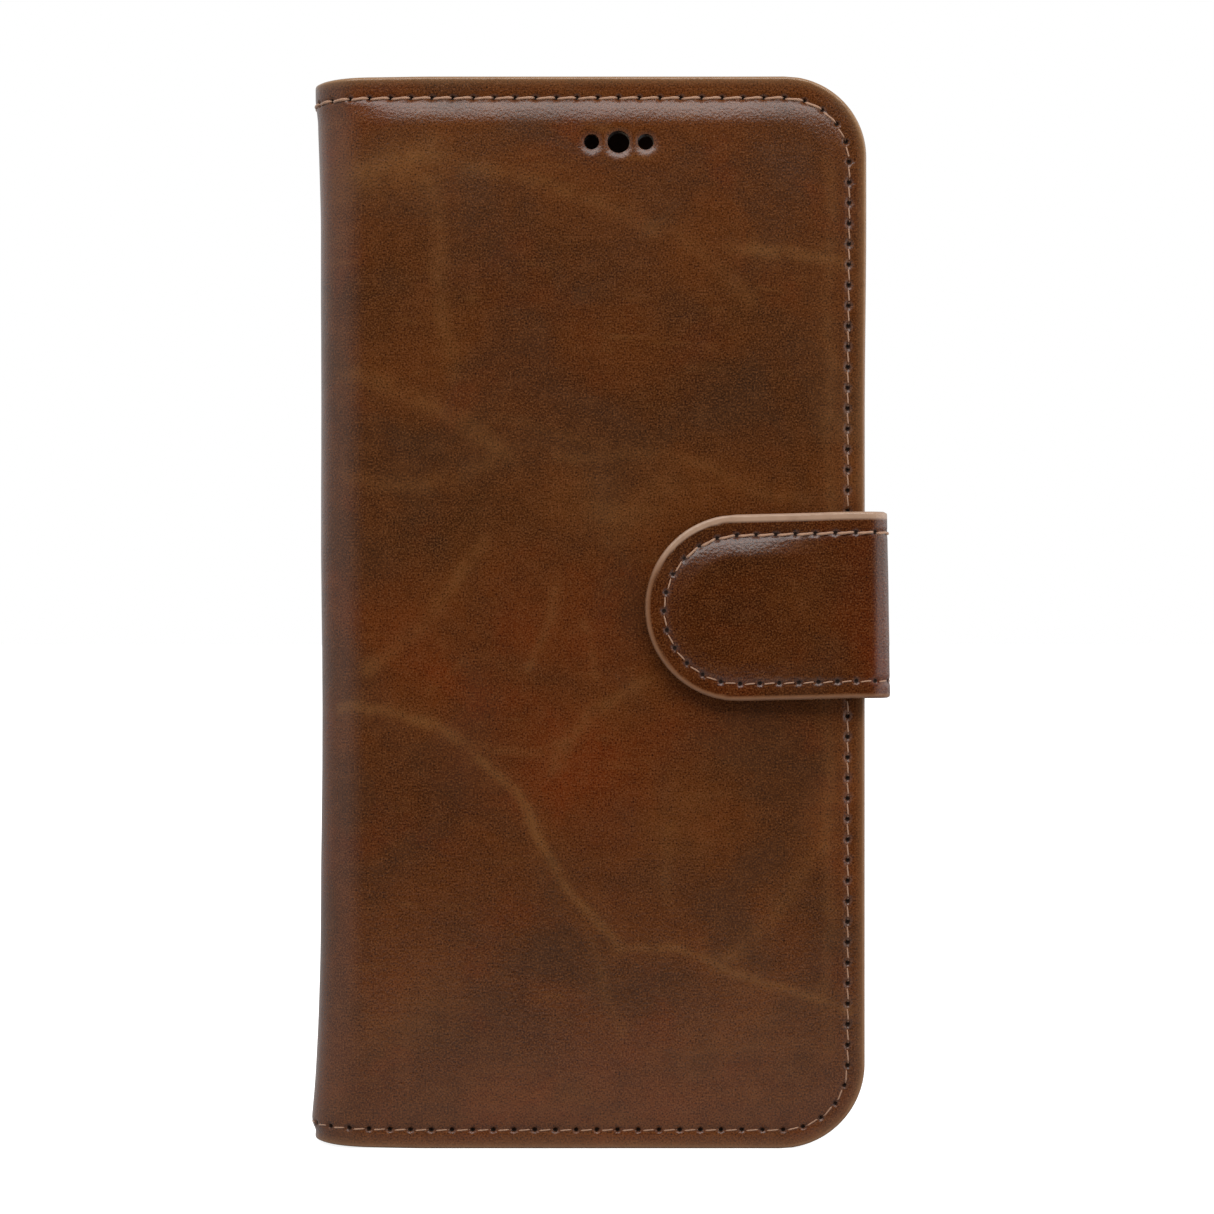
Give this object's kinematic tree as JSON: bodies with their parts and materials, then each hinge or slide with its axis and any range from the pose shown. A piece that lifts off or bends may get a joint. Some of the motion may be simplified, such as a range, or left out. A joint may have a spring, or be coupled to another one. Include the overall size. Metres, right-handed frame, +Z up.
{
  "type": "phone wallet case",
  "caption": "Leather folio phone case with a rounded spine, stitched edges, earpiece holes, card pockets and a magnetic clasp strap.",
  "frame": {"origin": "centre of the closed case's footprint, on the surface it stands on", "axes": "+X towards the opening edge and the strap, -X is the spine; -Y is the front cover's face; +Z up the case's height"},
  "size_m": [0.0828, 0.0264, 0.155],
  "materials": {
    "outer_leather": "waxed pull-up leather, mottled, semi-gloss",
    "lining_leather": "smooth, satin",
    "board": "plain grey-brown board",
    "thread": "twisted polyester thread, pinkish tan",
    "shell": "soft-touch moulded shell",
    "adhesive": "double-sided foam tape",
    "steel": "thin plated sheet",
    "magnet": "nickel-plated"
  },
  "bodies": {
    "back_panel": {"back_leather": "outer_leather", "back_board": "board", "back_lining": "lining_leather", "shell_adhesive": "adhesive", "phone_shell": "shell", "back_stitching": "thread", "strap_anchor_leather": "outer_leather", "strap_anchor_lining": "lining_leather", "strap_anchor_stitching": "thread"},
    "spine": {"spine_leather": "outer_leather", "spine_board": "board", "spine_lining": "lining_leather", "spine_stitch_top": "thread", "spine_stitch_bottom": "thread"},
    "front_cover": {"front_leather": "outer_leather", "front_board": "board", "front_lining": "lining_leather", "cash_pocket_panel": "lining_leather", "card_slot_1": "lining_leather", "card_slot_2": "lining_leather", "card_slot_3": "lining_leather", "clasp_keeper_plate": "steel", "front_stitching": "thread", "card_panel_stitching": "thread"},
    "strap_side": {"strap_side_leather": "outer_leather", "strap_side_lining": "lining_leather", "strap_side_stitch_top": "thread", "strap_side_stitch_bottom": "thread"},
    "strap_tab": {"strap_tab_leather": "outer_leather", "strap_tab_lining": "lining_leather", "strap_magnet": "magnet", "strap_tab_stitching": "thread"}
  },
  "joints": [
    {"name": "spine_fold", "type": "hinge", "parent": "back_panel", "child": "spine", "pos_m": [-0.0392, 0.0083, 0.0775], "axis": [0, 0, -1], "range_deg": [0, 175]},
    {"name": "cover_fold", "type": "hinge", "parent": "spine", "child": "front_cover", "pos_m": [-0.0392, -0.0083, 0.0775], "axis": [0, 0, -1], "range_deg": [0, 175], "deforming": ["strap_tab_leather", "strap_tab_lining", "strap_tab_stitching", "strap_magnet", "strap_side_leather", "strap_side_lining", "strap_side_stitch_top", "strap_side_stitch_bottom"]},
    {"name": "strap_side_fold", "type": "hinge", "parent": "back_panel", "child": "strap_side", "pos_m": [0.04046, 0.01226, 0.0787], "axis": [0, 0, 1], "range_deg": [0, 90]},
    {"name": "strap_tab_fold", "type": "hinge", "parent": "strap_side", "child": "strap_tab", "pos_m": [0.04046, -0.01226, 0.0787], "axis": [0, 0, 1], "range_deg": [0, 90]}
  ]
}
